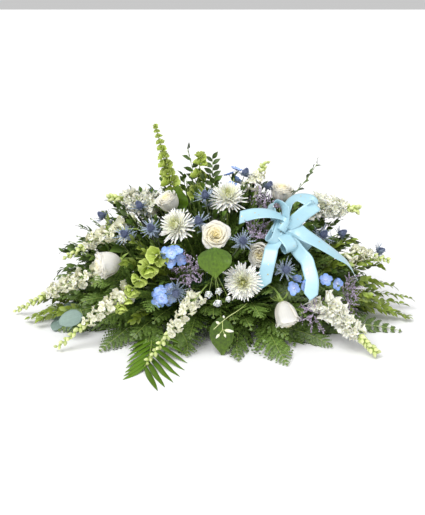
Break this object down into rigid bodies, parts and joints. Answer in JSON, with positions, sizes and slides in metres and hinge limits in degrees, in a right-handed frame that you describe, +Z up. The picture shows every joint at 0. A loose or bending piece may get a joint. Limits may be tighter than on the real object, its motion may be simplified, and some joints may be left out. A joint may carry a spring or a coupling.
{
  "type": "casket spray",
  "caption": "Wide mounded casket spray of cut flowers and greenery in a foam block in a shallow tray, with a ribbon bow.",
  "frame": {"origin": "middle of the tray's underside, on the surface that the spray rests on", "axes": "+Z up out of the tray, +X along the spray's long way to the right of its front, so that the front looks along -Y"},
  "size_m": [1.1817, 0.836, 0.5624],
  "materials": {
    "tray": "matte",
    "foam": "matte",
    "pick": "matte",
    "ribbon": "satin",
    "cream": "matte",
    "white": "matte",
    "stem": "matte",
    "bells": "matte",
    "blue": "matte",
    "thistle": "matte",
    "lilac": "matte",
    "fern": "matte",
    "palm": "satin",
    "ruscus": "matte",
    "eucalyptus": "matte",
    "salal": "satin"
  },
  "bodies": {
    "root": {"bells_left": "bells", "bells_tall": "bells", "bells_top": "bells", "bow": "ribbon", "bow_pick": "pick", "delphinium_back": "blue", "delphinium_left": "blue", "delphinium_right": "blue", "eucalyptus_left": "eucalyptus", "fern_back_left": "fern", "fern_back_right": "fern", "fern_front_left": "fern", "fern_front_right": "fern", "foam": "foam", "mum_back": "white", "mum_lower": "white", "mum_stem_back": "stem", "mum_stem_lower": "stem", "mum_stem_top": "stem", "mum_stem_upper_left": "stem", "mum_top": "white", "mum_upper_left": "white", "palm_front": "palm", "rose_back": "cream", "rose_center": "cream", "rose_left": "cream", "rose_lower_right": "cream", "rose_stem_back": "stem", "rose_stem_center": "stem", "rose_stem_left": "stem", "rose_stem_lower_right": "stem", "rose_stem_under_bow": "stem", "rose_stem_upper_left": "stem", "rose_stem_upper_right": "stem", "rose_under_bow": "cream", "rose_upper_left": "cream", "rose_upper_right": "cream", "ruscus_left": "ruscus", "ruscus_right": "ruscus", "ruscus_top": "ruscus", "salal_front": "salal", "salal_upper": "salal", "snapdragon_back": "white", "snapdragon_far_left": "white", "snapdragon_front": "white", "snapdragon_left_front": "white", "snapdragon_right": "white", "snapdragon_top": "white", "snapdragon_upper_left": "white", "statice_center": "lilac", "statice_right": "lilac", "stock_right_front": "white", "stock_upper_left": "white", "stock_upper_right": "white", "thistle_center": "thistle", "thistle_front_left": "thistle", "thistle_left": "thistle", "thistle_right": "thistle", "thistle_top": "thistle", "tray": "tray"}
  },
  "joints": []
}
